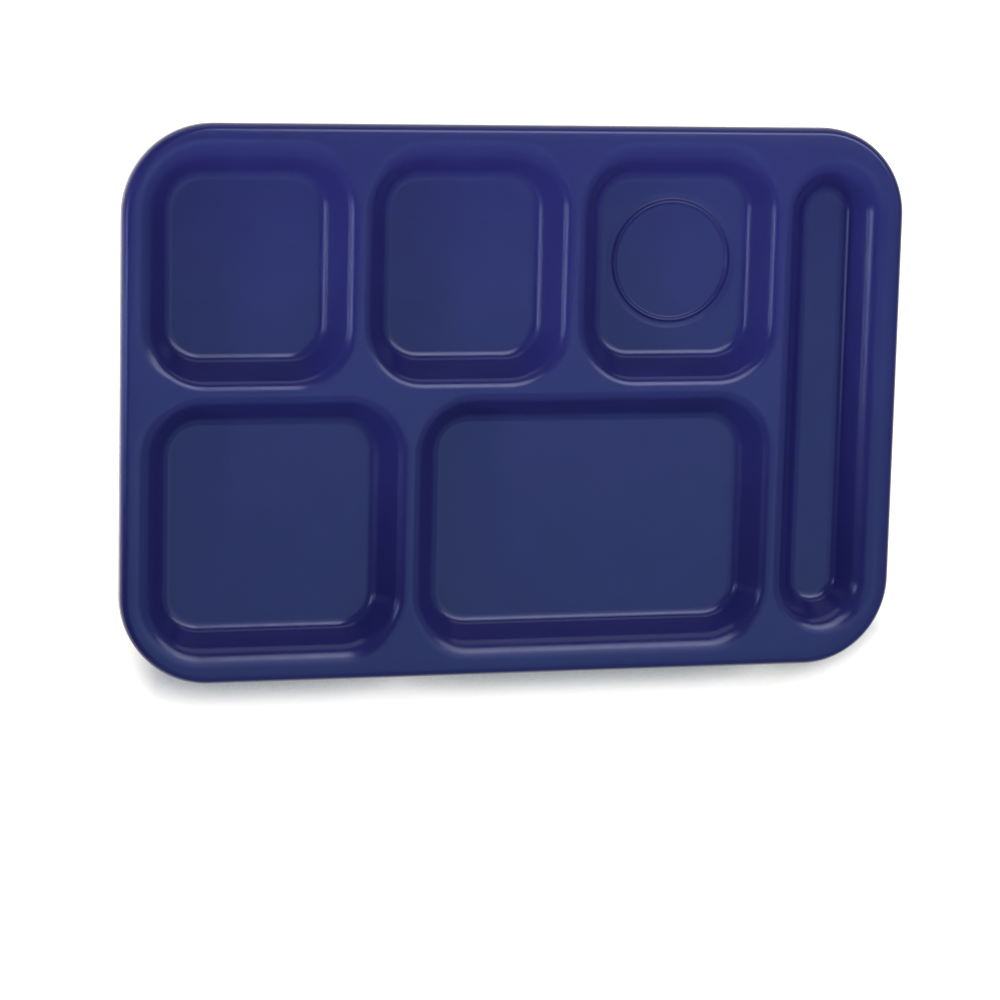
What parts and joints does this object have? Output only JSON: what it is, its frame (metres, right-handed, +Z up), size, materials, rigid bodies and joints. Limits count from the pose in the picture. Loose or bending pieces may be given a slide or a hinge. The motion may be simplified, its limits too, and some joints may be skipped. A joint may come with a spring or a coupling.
{
  "type": "compartment tray",
  "caption": "Rectangular moulded meal tray with rounded corners, separate food pockets, a long cutlery slot, a cup ring and a rolled rim for lifting and stacking.",
  "frame": {"origin": "on the table, under the middle of the tray's outline", "axes": "+X along the length, towards the cutlery slot; +Y across the width, towards the row of three small pockets; +Z up, out of the open pockets"},
  "size_m": [0.3682, 0.254, 0.018],
  "materials": {
    "shell": "satin moulded plastic in dark blue, smooth with a very fine grain"
  },
  "bodies": {
    "root": {"tray": "shell"}
  },
  "joints": []
}
